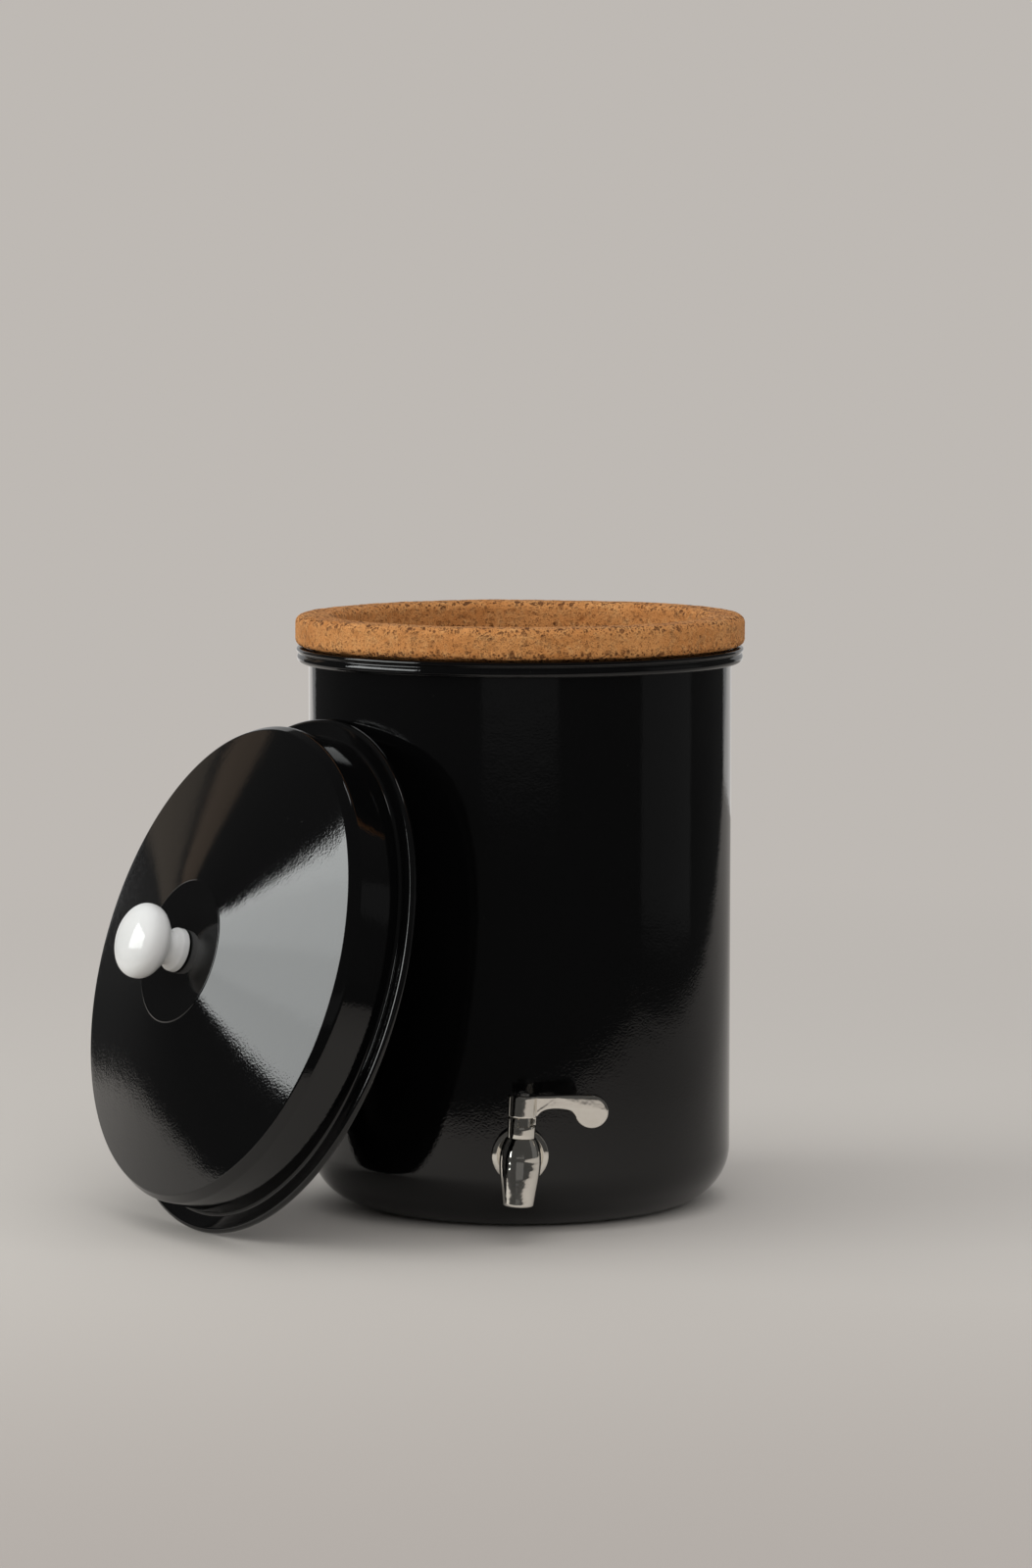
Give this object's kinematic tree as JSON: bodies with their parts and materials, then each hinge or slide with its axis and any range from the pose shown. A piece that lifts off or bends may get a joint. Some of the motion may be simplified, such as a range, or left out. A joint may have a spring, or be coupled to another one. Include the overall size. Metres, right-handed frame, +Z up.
{
  "type": "gravity water filter with tap",
  "caption": "Round black enamelled water filter with a clay filter pot hung in its mouth, a lever tap at the foot and a domed lid with a white knob leaning on it.",
  "frame": {"origin": "centre of the vessel's flat base, on the floor", "axes": "+Z up along the vessel's axis; the tap points to -Y; +X is to the right seen from the tap's side, where the lever lies when shut"},
  "size_m": [0.4479, 0.415, 0.4058],
  "materials": {
    "black_enamel": "gloss",
    "clay": "matt",
    "porcelain": "gloss",
    "tap_metal": "polished",
    "steel_fixings": "satin",
    "rubber": "matt"
  },
  "bodies": {
    "vessel": {"vessel_shell": "black_enamel", "tap_body": "tap_metal", "tap_flange": "tap_metal", "tap_bonnet": "tap_metal", "outer_gasket": "rubber", "inner_gasket": "rubber", "inner_washer": "steel_fixings", "shank_nut": "steel_fixings", "lock_nut": "steel_fixings"},
    "filter": {"filter_pot": "clay"},
    "lid": {"lid_shell": "black_enamel", "lid_knob": "porcelain", "knob_gasket": "rubber", "knob_washer": "steel_fixings", "knob_screw": "steel_fixings"},
    "lever": {"tap_lever": "tap_metal", "lever_screw": "steel_fixings", "valve_plug": "steel_fixings", "upper_o_ring": "rubber", "lower_o_ring": "rubber"}
  },
  "joints": [
    {"name": "pot_lift", "type": "slide", "parent": "vessel", "child": "filter", "axis": [0, 0, 1], "range_m": [0, 0.26]},
    {"name": "lid_take_away", "type": "slide", "parent": "vessel", "child": "lid", "axis": [-0.814, -0.4969, 0.3007], "range_m": [0, 0.2]},
    {"name": "lever_turn", "type": "hinge", "parent": "vessel", "child": "lever", "pos_m": [0, -0.175, 0.054], "axis": [0.0471, 0, 0.9989], "range_deg": [-90, 0]}
  ]
}
